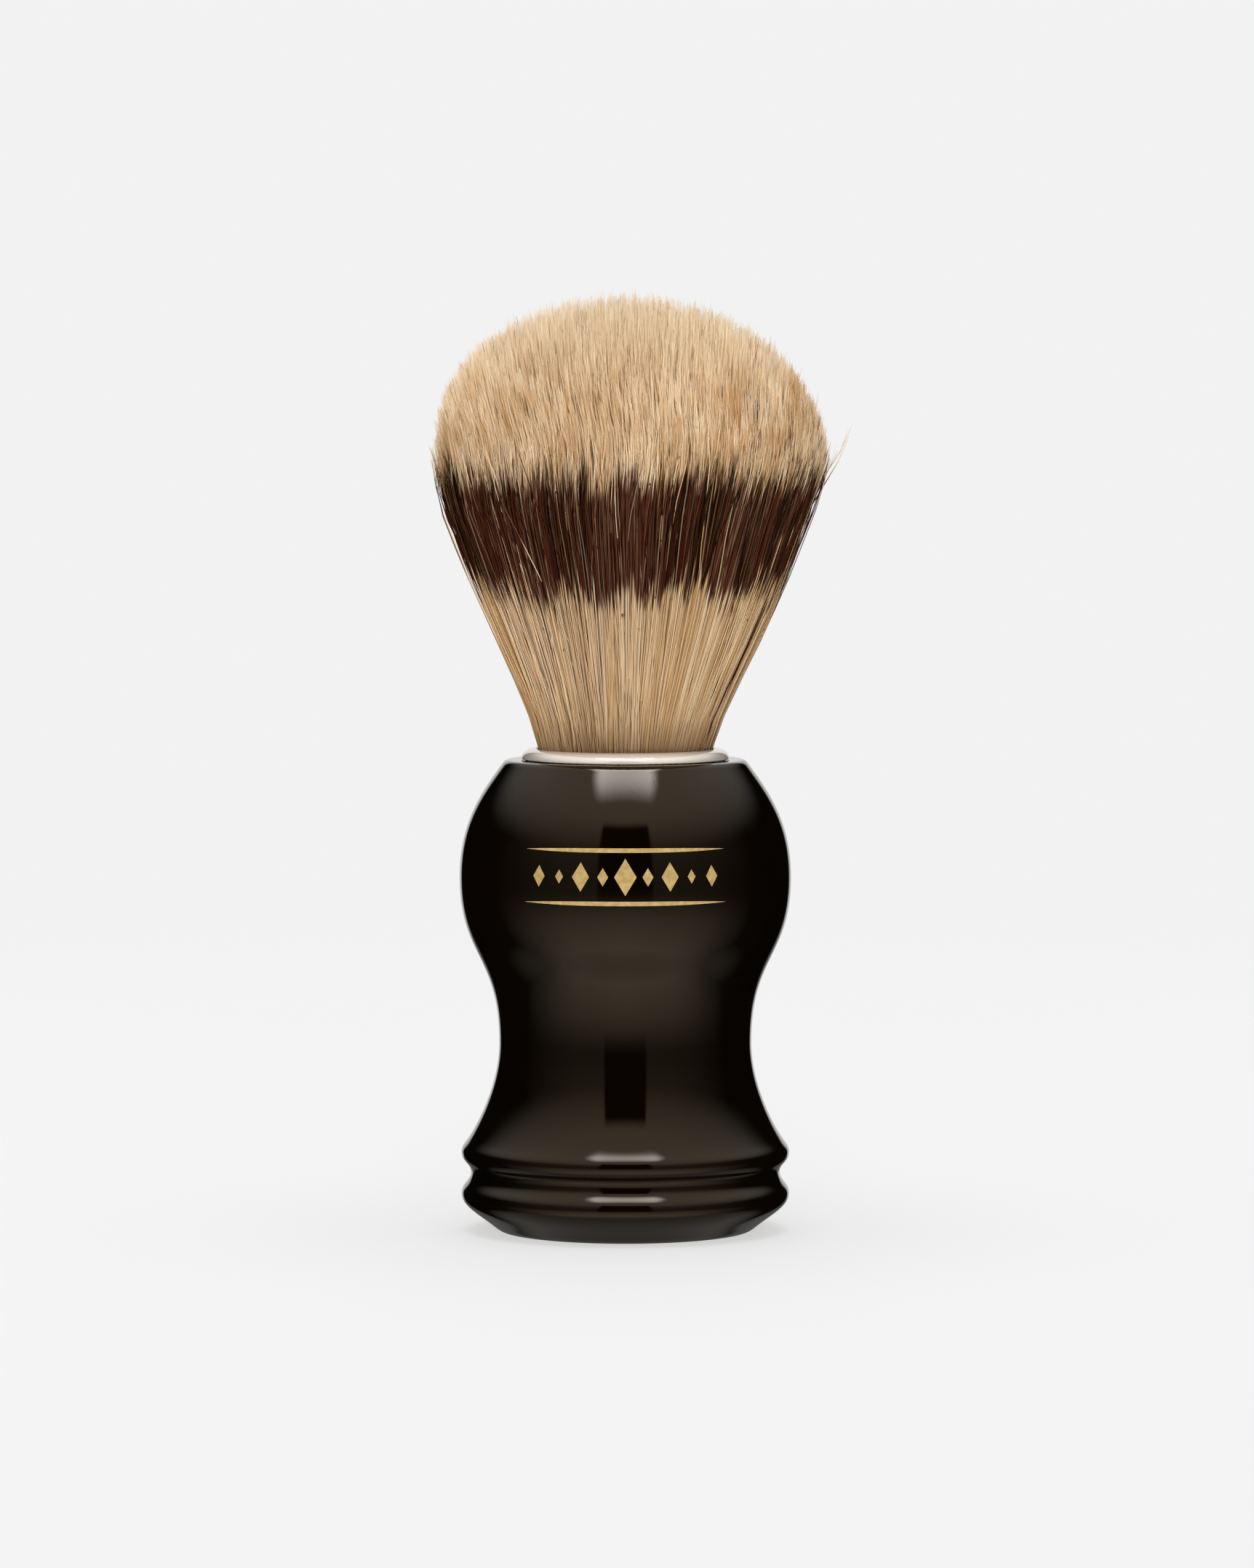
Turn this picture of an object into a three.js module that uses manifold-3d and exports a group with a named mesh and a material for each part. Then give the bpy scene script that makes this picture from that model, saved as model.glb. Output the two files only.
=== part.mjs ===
// Shaving brush: a turned-look moulded handle with a set-in bristle knot.
// Millimetres, +Z up, origin at the centre of the underside of the base.
import * as THREE from 'three';
import { mergeVertices } from 'three/addons/utils/BufferGeometryUtils.js';
import Module from 'manifold-3d';

// ---- Driving dimensions -------------------------------------------------

const GAP = 0.3;                 // clearance between neighbouring pieces

// Handle outline: foot, chamfer, two beads, waist, belly and shoulder
const FOOT_R = 14.6;
const CHAMFER_R = 15.65;
const CHAMFER_Z = 0.45;
const BEAD_R = 19.55;
const LOWER_BEAD_Z = 4.4;
const GROOVE_R = 18.42;
const GROOVE_Z = 6.95;
const UPPER_BEAD_Z = 9.35;
const FLARE_R = 18.75;
const FLARE_Z = 10.9;
const WAIST_R = 15.03;
const WAIST_Z = 22.4;
const BELLY_R = 19.74;
const BELLY_Z = 42.1;
const SHOULDER_R = 14.5;
const SHOULDER_Z = 56.15;

// How far the outline's curves reach from their end points before they bend
const CHAMFER_PULL_R = 1.95;
const CHAMFER_PULL_Z = 1.6;
const BEAD_PULL = 1.1;
const BEAD_PULL_UNDER = 1.4;
const BEAD_PULL_OVER = 0.6;
const FLARE_PULL_UNDER_R = 0.45;
const FLARE_PULL_UNDER_Z = 0.65;
const FLARE_PULL_R = 1.2;
const FLARE_PULL_Z = 1.8;
const WAIST_PULL_UNDER = 4.9;
const WAIST_PULL_OVER = 10.6;
const BELLY_PULL_UNDER = 9.4;
const BELLY_PULL_OVER = 6.1;
const SHOULDER_PULL_R = 2.95;
const SHOULDER_PULL_Z = 4.25;

// Hollows of the handle
const SOCKET_R = 11.95;
const SOCKET_FLOOR_Z = 39;
const CAVITY_R = 10.6;
const CAVITY_TOP_Z = 36;
const CAVITY_EDGE = 3;
const CAP_SEAT_R = 13.0;
const CAP_SEAT_DEPTH = 1.9;

// Base cap and ballast
const CAP_FLANGE_H = 1.6;
const CAP_SPIGOT_H = 2.6;
const BALLAST_H = 14;
const BALLAST_CHAMFER = 0.8;

// Knot: everything that is set in the socket
const GLUE_BED_H = 1.5;
const FERRULE_WALL = 0.8;
const FERRULE_FLOOR = 1.0;
const PLUG_H = 5.1;
const TWINE_D = 0.8;
const TWINE_PITCH = 1.15;
const TWINE_TURNS = 3;
const TWINE_GROOVE_EDGE = 0.6;

// Collar ring on the handle's top face
const COLLAR_R = 12.4;
const COLLAR_BORE_R = 11.0;
const COLLAR_H = 1.25;
const COLLAR_FLAT = 0.3;         // width of the ring's flat top, next to its bore
const COLLAR_SEAT = 0.1;

// Bristle fan
const FAN_NECK_R = 10.45;
const FAN_NECK_Z = 58.2;
const FAN_FLARE_R = 21.0;
const FAN_FLARE_Z = 82.2;
const FAN_R = 23.5;
const FAN_Z = 91.6;
const FAN_TOP_Z = 110.3;
const FAN_FLARE_PULL_R = 1.6;
const FAN_FLARE_PULL_Z = 3.8;
const FAN_PULL_UNDER = 3.0;
const CORE_SHARE = 1 / 3;
const INNER_SHARE = 2 / 3;
const INNER_TUFTS = 6;
const OUTER_TUFTS = 12;

// The bristles bend about this point; their roots end in a ball and socket round it
const FLEX_Z = 66;
const FLEX_BALL_R = 13.6;
const FLEX_SOCKET_R = FLEX_BALL_R + GAP + 0.05;  // a little over the gap, for the facets

// Roundness: segments round the axis, and steps along each curved outline
const HANDLE_SEGMENTS = 40;
const FAN_SEGMENTS = 36;
const SMALL_SEGMENTS = 28;
const BEAD_STEPS = 4;
const BODY_STEPS = 7;
const COLLAR_STEPS = 5;
const FAN_SIDE_STEPS = 4;
const DOME_STEPS = 4;
const ROOT_ARC_STEPS = 3;
const SOCKET_ARC_STEPS = 5;
const TWINE_STEPS_PER_TURN = 18;
const TWINE_SECTION_STEPS = 6;
const MERGE_DISTANCE = 1e-4;     // corners closer than this are one corner

// ---- Levels worked out from the dimensions above --------------------------

const gluebedZ = SOCKET_FLOOR_Z + GAP;
const ferruleZ = gluebedZ + GLUE_BED_H + GAP;
const ferruleR = SOCKET_R - GAP;
const ferruleBoreR = ferruleR - FERRULE_WALL;
const ferruleTopZ = SHOULDER_Z - COLLAR_SEAT;
const plugZ = ferruleZ + FERRULE_FLOOR + GAP;
const plugR = ferruleBoreR - GAP;
const rootsZ = plugZ + PLUG_H + GAP;

// ---- Outlines: lists of [radius, height] ------------------------------------

function curvePoints(path, divisions) {
  return path.getPoints(divisions).map((p) => [p.x, p.y]);
}

function handleOutline() {
  const foot = new THREE.Path();
  foot.moveTo(CHAMFER_R, CHAMFER_Z);
  foot.bezierCurveTo(CHAMFER_R + CHAMFER_PULL_R, CHAMFER_Z + CHAMFER_PULL_Z,
    BEAD_R, LOWER_BEAD_Z - BEAD_PULL_UNDER, BEAD_R, LOWER_BEAD_Z);
  foot.bezierCurveTo(BEAD_R, LOWER_BEAD_Z + BEAD_PULL, GROOVE_R, GROOVE_Z - BEAD_PULL,
    GROOVE_R, GROOVE_Z);
  foot.bezierCurveTo(GROOVE_R, GROOVE_Z + BEAD_PULL, BEAD_R, UPPER_BEAD_Z - BEAD_PULL,
    BEAD_R, UPPER_BEAD_Z);
  foot.bezierCurveTo(BEAD_R, UPPER_BEAD_Z + BEAD_PULL_OVER,
    FLARE_R + FLARE_PULL_UNDER_R, FLARE_Z - FLARE_PULL_UNDER_Z, FLARE_R, FLARE_Z);
  const body = new THREE.Path();
  body.moveTo(FLARE_R, FLARE_Z);
  body.bezierCurveTo(FLARE_R - FLARE_PULL_R, FLARE_Z + FLARE_PULL_Z,
    WAIST_R, WAIST_Z - WAIST_PULL_UNDER, WAIST_R, WAIST_Z);
  body.bezierCurveTo(WAIST_R, WAIST_Z + WAIST_PULL_OVER, BELLY_R, BELLY_Z - BELLY_PULL_UNDER,
    BELLY_R, BELLY_Z);
  body.bezierCurveTo(BELLY_R, BELLY_Z + BELLY_PULL_OVER,
    SHOULDER_R + SHOULDER_PULL_R, SHOULDER_Z - SHOULDER_PULL_Z, SHOULDER_R, SHOULDER_Z);
  return [[FOOT_R, 0], ...curvePoints(foot, BEAD_STEPS), ...curvePoints(body, BODY_STEPS).slice(1)];
}

function handleProfile() {
  return [
    [0, CAVITY_TOP_Z],
    [CAVITY_R - CAVITY_EDGE, CAVITY_TOP_Z],
    [CAVITY_R, CAVITY_TOP_Z - CAVITY_EDGE],
    [CAVITY_R, CAP_SEAT_DEPTH],
    [CAP_SEAT_R, CAP_SEAT_DEPTH],
    [CAP_SEAT_R, 0],
    ...handleOutline(),
    [SOCKET_R, SHOULDER_Z],
    [SOCKET_R, SOCKET_FLOOR_Z],
    [0, SOCKET_FLOOR_Z],
  ];
}

function capProfile() {
  const flangeR = CAP_SEAT_R - GAP;
  const spigotR = CAVITY_R - GAP;
  return [[0, 0], [flangeR, 0], [flangeR, CAP_FLANGE_H], [spigotR, CAP_FLANGE_H],
    [spigotR, CAP_SPIGOT_H], [0, CAP_SPIGOT_H]];
}

function ballastProfile() {
  const r = CAVITY_R - GAP;
  const low = CAP_SPIGOT_H + GAP;
  const high = low + BALLAST_H;
  const c = BALLAST_CHAMFER;
  return [[0, low], [r - c, low], [r, low + c], [r, high - c], [r - c, high], [0, high]];
}

function collarProfile() {
  const low = SHOULDER_Z + COLLAR_SEAT;
  const crestR = COLLAR_BORE_R + COLLAR_FLAT;
  const round = new THREE.Path();
  round.absellipse(crestR, low, COLLAR_R - crestR, COLLAR_H, 0, Math.PI / 2, false);
  return [[COLLAR_BORE_R, low], ...curvePoints(round, COLLAR_STEPS),
    [COLLAR_BORE_R, low + COLLAR_H], [COLLAR_BORE_R, low]];
}

function ferruleProfile() {
  return [[0, ferruleZ], [ferruleR, ferruleZ], [ferruleR, ferruleTopZ],
    [ferruleBoreR, ferruleTopZ], [ferruleBoreR, ferruleZ + FERRULE_FLOOR],
    [0, ferruleZ + FERRULE_FLOOR]];
}

function puckProfile(radius, low, height) {
  return [[0, low], [radius, low], [radius, low + height], [0, low + height]];
}

// Points of a circle about the flex point, from one radius to another, below it
function flexArc(sphereR, fromR, toR, steps) {
  const start = Math.asin(fromR / sphereR);
  const end = Math.asin(toR / sphereR);
  return Array.from({ length: steps + 1 }, (_, i) => {
    const angle = start + (end - start) * i / steps;
    return [sphereR * Math.sin(angle), FLEX_Z - sphereR * Math.cos(angle)];
  });
}

function twineZ() {
  return rootsZ + TWINE_GROOVE_EDGE + TWINE_D;
}

function rootsProfile() {
  const neckR = plugR - TWINE_D - GAP;
  const grooveLow = rootsZ + TWINE_GROOVE_EDGE;
  const grooveHigh = grooveLow + TWINE_TURNS * TWINE_PITCH + 2 * TWINE_D;
  return [[0, rootsZ], [plugR, rootsZ], [plugR, grooveLow], [neckR, grooveLow],
    [neckR, grooveHigh], [plugR, grooveHigh], ...flexArc(FLEX_SOCKET_R, plugR, 0, SOCKET_ARC_STEPS)];
}

// ---- Bristle fan -------------------------------------------------------------

// A bristle that starts at this share of the neck's radius ends at this point of the dome
function tipPoint(share) {
  const angle = share * Math.PI / 2;
  return [FAN_R * Math.sin(angle), FAN_Z + (FAN_TOP_Z - FAN_Z) * Math.cos(angle)];
}

function domeArc(fromShare, toShare) {
  return Array.from({ length: DOME_STEPS + 1 },
    (_, i) => tipPoint(fromShare + (toShare - fromShare) * i / DOME_STEPS));
}

function fanSide() {
  const side = new THREE.Path();
  side.moveTo(FAN_FLARE_R, FAN_FLARE_Z);
  side.bezierCurveTo(FAN_FLARE_R + FAN_FLARE_PULL_R, FAN_FLARE_Z + FAN_FLARE_PULL_Z,
    FAN_R, FAN_Z - FAN_PULL_UNDER, FAN_R, FAN_Z);
  return [[FAN_NECK_R, FAN_NECK_Z], ...curvePoints(side, FAN_SIDE_STEPS)];
}

function layerProfile(innerShare, outerShare) {
  const half = GAP / 2;
  const rootIn = innerShare > 0 ? innerShare * FAN_NECK_R + half : 0;
  const outermost = outerShare === 1;
  const rootOut = outermost ? FAN_NECK_R - GAP : outerShare * FAN_NECK_R - half;
  const outside = outermost ? fanSide().slice(0, -1) : [];
  const tips = domeArc(outerShare, innerShare);
  if (!outermost) tips[0][0] -= half;
  if (innerShare > 0) tips[tips.length - 1][0] += half;
  const roots = flexArc(FLEX_BALL_R, rootIn, rootOut, ROOT_ARC_STEPS);
  const profile = [...roots, ...outside, ...tips];
  return innerShare > 0 ? [...profile, profile[0]] : profile;
}

// ---- Solids --------------------------------------------------------------------

function lathe(profile, segments) {
  const points = profile.map(([r, z]) => new THREE.Vector2(r, z));
  const geometry = new THREE.LatheGeometry(points, segments);
  return geometry.rotateX(Math.PI / 2);
}

const wasm = await Module();
wasm.setup();

function toSolid(geometry) {
  const bare = geometry.clone();
  bare.deleteAttribute('normal');
  bare.deleteAttribute('uv');
  const merged = mergeVertices(bare, MERGE_DISTANCE);
  return new wasm.Manifold(new wasm.Mesh({
    numProp: 3,
    vertProperties: new Float32Array(merged.attributes.position.array),
    triVerts: new Uint32Array(merged.index.array),
  }));
}

function toGeometry(solid) {
  const { vertProperties, triVerts } = solid.getMesh();
  const geometry = new THREE.BufferGeometry();
  geometry.setAttribute('position', new THREE.BufferAttribute(vertProperties, 3));
  geometry.setIndex(new THREE.BufferAttribute(triVerts, 1));
  geometry.computeVertexNormals();
  return geometry;
}

// A tall prism over one sector of the circle, its sides drawn in by half the gap
function sectorPrism(centreAngle, sectorAngle) {
  const reach = 3 * FAN_R;
  const low = FLEX_Z - 2 * FLEX_BALL_R;
  const half = sectorAngle / 2;
  const apex = GAP / 2 / Math.sin(half);
  const shape = new THREE.Shape([
    new THREE.Vector2(apex, 0),
    new THREE.Vector2(apex + reach * Math.cos(half), -reach * Math.sin(half)),
    new THREE.Vector2(apex + reach * Math.cos(half), reach * Math.sin(half)),
  ]);
  const prism = new THREE.ExtrudeGeometry(shape, { depth: FAN_TOP_Z, bevelEnabled: false });
  return prism.rotateZ(centreAngle).translate(0, 0, low);
}

class Helix extends THREE.Curve {
  constructor(radius, pitch, turns) {
    super();
    this.radius = radius;
    this.pitch = pitch;
    this.turns = turns;
  }

  getPoint(t) {
    const angle = 2 * Math.PI * this.turns * t;
    return new THREE.Vector3(this.radius * Math.cos(angle), this.radius * Math.sin(angle),
      this.pitch * this.turns * t);
  }
}

function twineGeometry() {
  const section = new THREE.Shape();
  section.absarc(0, 0, TWINE_D / 2, 0, 2 * Math.PI);
  const winding = new Helix(plugR - TWINE_D / 2, TWINE_PITCH, TWINE_TURNS);
  const geometry = new THREE.ExtrudeGeometry(section, {
    extrudePath: winding,
    steps: TWINE_STEPS_PER_TURN * TWINE_TURNS,
    curveSegments: TWINE_SECTION_STEPS,
    bevelEnabled: false,
  });
  return geometry.translate(0, 0, twineZ());
}

// ---- Materials -------------------------------------------------------------------

function finish(color, roughness, metalness = 0) {
  return () => new THREE.MeshStandardMaterial({ color, roughness, metalness });
}

const blackResin = finish(0x1a1511, 0.08);
const blackPlastic = finish(0x24211e, 0.5);
const steel = finish(0x8d9094, 0.45, 1);
const chrome = finish(0xe4e2dc, 0.08, 1);
const aluminium = finish(0xb9bcbf, 0.35, 1);
const epoxy = finish(0xc9b27a, 0.3);
const bristle = finish(0xd9bb8c, 0.7);
const paleBristle = finish(0xe3c9a0, 0.7);
const twine = finish(0xcfc4ae, 0.9);

// ---- Assembly ----------------------------------------------------------------------

const brush = new THREE.Group();

function addPiece(name, geometry, material) {
  const piece = new THREE.Mesh(geometry, material());
  piece.name = name;
  brush.add(piece);
}

function addTuftRing(name, count, innerShare, outerShare, material) {
  const layer = toSolid(lathe(layerProfile(innerShare, outerShare), FAN_SEGMENTS));
  const sector = 2 * Math.PI / count;
  for (let i = 0; i < count; i += 1) {
    const wedge = toSolid(sectorPrism(i * sector, sector));
    const label = String(i + 1).padStart(2, '0');
    addPiece(`${name}_${label}`, toGeometry(layer.intersect(wedge)), material);
  }
}

addPiece('handle_shell', lathe(handleProfile(), HANDLE_SEGMENTS), blackResin);
addPiece('base_cap', lathe(capProfile(), HANDLE_SEGMENTS), blackPlastic);
addPiece('ballast_weight', lathe(ballastProfile(), SMALL_SEGMENTS), steel);

addPiece('socket_adhesive', lathe(puckProfile(ferruleR, gluebedZ, GLUE_BED_H), SMALL_SEGMENTS),
  epoxy);
addPiece('knot_ferrule', lathe(ferruleProfile(), SMALL_SEGMENTS), aluminium);
addPiece('knot_resin_plug', lathe(puckProfile(plugR, plugZ, PLUG_H), SMALL_SEGMENTS), epoxy);
addPiece('bristle_roots', lathe(rootsProfile(), SMALL_SEGMENTS), bristle);
addPiece('knot_twine', twineGeometry(), twine);
addPiece('collar_ring', lathe(collarProfile(), HANDLE_SEGMENTS), chrome);

addPiece('bristle_core', lathe(layerProfile(0, CORE_SHARE), SMALL_SEGMENTS), bristle);
addTuftRing('inner_tuft', INNER_TUFTS, CORE_SHARE, INNER_SHARE, bristle);
addTuftRing('outer_tuft', OUTER_TUFTS, INNER_SHARE, 1, paleBristle);

export default brush;
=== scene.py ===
import math

import bpy
import numpy as np
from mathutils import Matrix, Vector


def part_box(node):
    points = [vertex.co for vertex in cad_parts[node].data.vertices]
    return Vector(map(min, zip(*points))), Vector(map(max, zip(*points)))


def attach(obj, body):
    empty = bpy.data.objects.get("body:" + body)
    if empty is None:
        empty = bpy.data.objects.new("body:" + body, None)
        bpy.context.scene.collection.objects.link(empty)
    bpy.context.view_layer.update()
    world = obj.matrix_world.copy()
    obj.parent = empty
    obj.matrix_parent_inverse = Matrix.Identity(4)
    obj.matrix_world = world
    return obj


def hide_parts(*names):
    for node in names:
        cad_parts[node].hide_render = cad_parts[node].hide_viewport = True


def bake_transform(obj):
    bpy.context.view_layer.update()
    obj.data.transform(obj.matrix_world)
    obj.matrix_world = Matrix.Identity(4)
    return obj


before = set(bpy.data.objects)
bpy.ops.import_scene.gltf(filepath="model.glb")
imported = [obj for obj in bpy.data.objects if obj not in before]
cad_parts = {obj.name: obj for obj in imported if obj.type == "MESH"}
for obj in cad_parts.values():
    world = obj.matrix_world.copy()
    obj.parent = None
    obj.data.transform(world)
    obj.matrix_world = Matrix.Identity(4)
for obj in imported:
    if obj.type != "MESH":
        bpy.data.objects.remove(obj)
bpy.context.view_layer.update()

# ---------------------------------------------------------------------------
# Studio: a pale seamless floor under a soft overhead tent of white fabric.
# The tent has a narrow opening in front, dark curtains at both sides and one
# brighter softbox above the opening.
# ---------------------------------------------------------------------------
camera_data = bpy.data.cameras.new("camera")
camera_data.lens = 174.1
camera_data.sensor_width = 36.0
camera_data.clip_start = 0.05
camera_data.clip_end = 100.0
camera = bpy.data.objects.new("camera", camera_data)
camera.location = (0.0, -0.9, 0.108)
camera_aim = Vector((0.0002, 0.0, 0.0532))
camera.rotation_euler = (camera_aim - camera.location).to_track_quat("-Z", "Y").to_euler()
bpy.context.scene.collection.objects.link(camera)
bpy.context.scene.camera = camera
bpy.context.scene.view_settings.view_transform = "Standard"

floor_r, floor_edge_r = 1.2, 0.09
floor_sides = 96
floor_mesh = bpy.data.meshes.new("studio_floor")
floor_mesh.from_pydata(
    [(floor_r * math.cos(i * math.tau / floor_sides), floor_r * math.sin(i * math.tau / floor_sides),
      0.0) for i in range(floor_sides)], [], [tuple(range(floor_sides))])
studio_floor = bpy.data.objects.new("studio_floor", floor_mesh)
bpy.context.scene.collection.objects.link(studio_floor)


def node(tree, kind, **settings):
    """Add a shader node; a setting named like a socket fills that socket."""
    made = tree.nodes.new(kind)
    for key, value in settings.items():
        if hasattr(made, key):
            setattr(made, key, value)
        else:
            made.inputs[key.replace("_", " ").title()].default_value = value
    return made


def math_node(tree, operation, first, second=None):
    """A Math node; each operand is a socket to link or a plain number."""
    made = tree.nodes.new("ShaderNodeMath")
    made.operation = operation
    for socket, operand in zip(made.inputs, (first, second)):
        if isinstance(operand, (int, float)):
            socket.default_value = operand
        elif operand is not None:
            tree.links.new(operand, socket)
    return made.outputs[0]


def fade(tree, value, low, high, at_low=0.0, at_high=1.0):
    """A smooth step from at_low to at_high as value goes from low to high."""
    made = tree.nodes.new("ShaderNodeMapRange")
    made.interpolation_type = "SMOOTHSTEP"
    tree.links.new(value, made.inputs["Value"])
    for name, number in (("From Min", low), ("From Max", high),
                         ("To Min", at_low), ("To Max", at_high)):
        made.inputs[name].default_value = number
    return made.outputs["Result"]


def ramp(tree, value, stops):
    """A colour ramp with (position, colour) stops; a grey may be one number."""
    made = tree.nodes.new("ShaderNodeValToRGB")
    elements = made.color_ramp.elements
    while len(elements) < len(stops):
        elements.new(0.5)
    for element, (position, colour) in zip(elements, stops):
        element.position = position
        grey = isinstance(colour, (int, float))
        element.color = (colour, colour, colour, 1) if grey else (*colour, 1)
    tree.links.new(value, made.inputs["Fac"])
    return made.outputs["Color"]


floor_paint = bpy.data.materials.new("pale_floor")
floor_paint.use_nodes = True
floor_tree = floor_paint.node_tree
floor_shader = floor_tree.nodes["Principled BSDF"]
floor_shader.inputs["Base Color"].default_value = (0.315, 0.303, 0.280, 1)
floor_shader.inputs["Emission Color"].default_value = (0.888, 0.888, 0.888, 1)
floor_shader.inputs["Emission Strength"].default_value = 0.65
floor_shader.inputs["Roughness"].default_value = 0.9
floor_shader.inputs["Specular IOR Level"].default_value = 0.0
floor_place = node(floor_tree, "ShaderNodeTexCoord").outputs["Object"]
from_brush = node(floor_tree, "ShaderNodeVectorMath", operation="LENGTH")
floor_tree.links.new(floor_place, from_brush.inputs[0])
floor_tree.links.new(fade(floor_tree, from_brush.outputs["Value"], floor_edge_r, 0.5, 1.0, 0.0),
                     floor_shader.inputs["Alpha"])
floor_unseen = node(floor_tree, "ShaderNodeBsdfTransparent")
floor_choice = node(floor_tree, "ShaderNodeMixShader")
floor_tree.links.new(node(floor_tree, "ShaderNodeLightPath").outputs["Is Glossy Ray"],
                     floor_choice.inputs["Fac"])
floor_tree.links.new(floor_shader.outputs[0], floor_choice.inputs[1])
floor_tree.links.new(floor_unseen.outputs[0], floor_choice.inputs[2])
floor_tree.links.new(floor_choice.outputs[0],
                     floor_tree.nodes["Material Output"].inputs["Surface"])
floor_mesh.materials.append(floor_paint)

world = bpy.data.worlds.new("tent")
world.use_nodes = True
bpy.context.scene.world = world
tent = world.node_tree
tent.nodes.clear()
direction = node(tent, "ShaderNodeTexCoord").outputs["Generated"]
split = node(tent, "ShaderNodeSeparateXYZ")
tent.links.new(direction, split.inputs["Vector"])
across, away, up = split.outputs
toward = math_node(tent, "MULTIPLY", away, -1.0)
turn = math_node(tent, "ABSOLUTE", math_node(tent, "ARCTAN2", across, toward))
turn_share = math_node(tent, "DIVIDE", turn, math.pi)
height_share = math_node(tent, "MULTIPLY", math_node(tent, "ADD", up, 1.0), 0.5)
roof = ramp(tent, height_share, [(0.0, 0.35), (0.03, 0.4), (0.12, 1.0), (0.30, 0.66), (0.44, 0.18),
                                 (0.5, 0.16), (0.67, 0.26), (0.76, 0.50), (0.86, 0.85), (1.0, 1.0)])
curtain = ramp(tent, turn_share, [(0.0, 1.0), (0.25, 0.85), (0.36, 0.6), (0.46, 0.28),
                                  (0.56, 0.02), (0.88, 0.02), (0.905, 1.0), (1.0, 1.2)])
backdrop = math_node(tent, "MULTIPLY", fade(tent, turn_share, 0.88, 0.91),
                     fade(tent, up, -0.22, -0.10))
curtain_end = fade(tent, up, 0.28, 0.55)
curtained = math_node(tent, "ADD", math_node(
    tent, "MULTIPLY", curtain, math_node(tent, "SUBTRACT", 1.0, curtain_end)), curtain_end)
opening_wide = fade(tent, turn, math.radians(17.5), math.radians(20.5), 1.0, 0.0)
opening_high = fade(tent, up, 0.60, 0.70, 1.0, 0.0)
opening_low = fade(tent, up, -0.30, -0.03)
opening = math_node(tent, "MULTIPLY", opening_low, math_node(
    tent, "MULTIPLY", opening_wide, opening_high))
floor_glow = fade(tent, turn_share, 0.55, 0.75, 1.0, 0.25)
under = fade(tent, up, -0.30, -0.12)
behind = math_node(tent, "ADD", math_node(tent, "MULTIPLY", floor_glow, math_node(
    tent, "SUBTRACT", 1.0, under)), under)
cloth = math_node(tent, "MULTIPLY", math_node(tent, "MULTIPLY", roof, curtained),
                  math_node(tent, "MULTIPLY", behind, math_node(tent, "SUBTRACT", 1.0, opening)))
cloth = math_node(tent, "ADD", cloth, math_node(tent, "MULTIPLY", backdrop, 0.7))
cloth = math_node(tent, "MAXIMUM", cloth, fade(tent, up, -0.75, -0.50, 0.3, 0.0))
above = math_node(tent, "MAXIMUM", up, 0.05)
box_x = math_node(tent, "ABSOLUTE", math_node(tent, "DIVIDE", across, above))
box_y = math_node(tent, "DIVIDE", toward, above)
box_sides = math_node(tent, "MULTIPLY", fade(tent, box_x, 0.26, 0.40, 1.0, 0.0),
                      fade(tent, up, 0.05, 0.15))
softbox = math_node(tent, "MULTIPLY", box_sides, math_node(
    tent, "MULTIPLY", fade(tent, box_y, -0.60, -0.30), fade(tent, box_y, 0.17, 0.66, 1.0, 0.0)))
tent_ray = node(tent, "ShaderNodeLightPath")
box_power = fade(tent, tent_ray.outputs["Is Glossy Ray"], 0.0, 1.0, 2.7, 16.0)
glow = math_node(tent, "ADD", cloth, math_node(tent, "MULTIPLY", softbox, box_power))
seen = node(tent, "ShaderNodeBackground")
seen.inputs["Color"].default_value = (0.888, 0.888, 0.888, 1)
lit = node(tent, "ShaderNodeBackground")
tent_tint = ramp(tent, softbox, [(0.0, (1.0, 0.985, 0.965)), (0.15, (0.72, 0.80, 1.0))])
tent.links.new(tent_tint, lit.inputs["Color"])
tent.links.new(glow, lit.inputs["Strength"])
choose = node(tent, "ShaderNodeMixShader")
tent.links.new(tent_ray.outputs["Is Camera Ray"], choose.inputs["Fac"])
tent.links.new(lit.outputs[0], choose.inputs[1])
tent.links.new(seen.outputs[0], choose.inputs[2])
tent.links.new(choose.outputs[0], node(tent, "ShaderNodeOutputWorld").inputs["Surface"])

# Two broad fill lights on either side of the camera, mainly for the bristles, though they light
# every surface; no reflection shows them
fill_height, fill_strength = 0.09, 1.58
for name, fill_turn in (("fill_left", -0.16), ("fill_right", 0.16)):
    fill_data = bpy.data.lights.new(name, "SUN")
    fill_data.energy = fill_strength
    fill_data.angle = math.radians(16)
    fill_data.color = (1.0, 0.98, 0.95)
    fill = bpy.data.objects.new(name, fill_data)
    fill_from = Vector((math.sin(fill_turn), -math.cos(fill_turn), fill_height))
    fill.rotation_euler = fill_from.to_track_quat("Z", "Y").to_euler()
    fill.visible_glossy = False
    fill.visible_camera = False
    bpy.context.scene.collection.objects.link(fill)

# ---------------------------------------------------------------------------
# Handle shell: one moulding in near-black resin, buffed to a wet-looking gloss.
# A socket in its top takes the knot and a hollow in its foot takes the ballast.
# ---------------------------------------------------------------------------
MM = 0.001


def bezier(start, pull_start, pull_end, end, steps):
    """Points of a cubic curve after its start, as (radius, height)."""
    points = []
    for step in range(1, steps + 1):
        t = step / steps
        u = 1 - t
        points.append(tuple(
            u**3 * a + 3 * u * u * t * b + 3 * u * t * t * c + t**3 * d
            for a, b, c, d in zip(start, pull_start, pull_end, end)))
    return points


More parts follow.
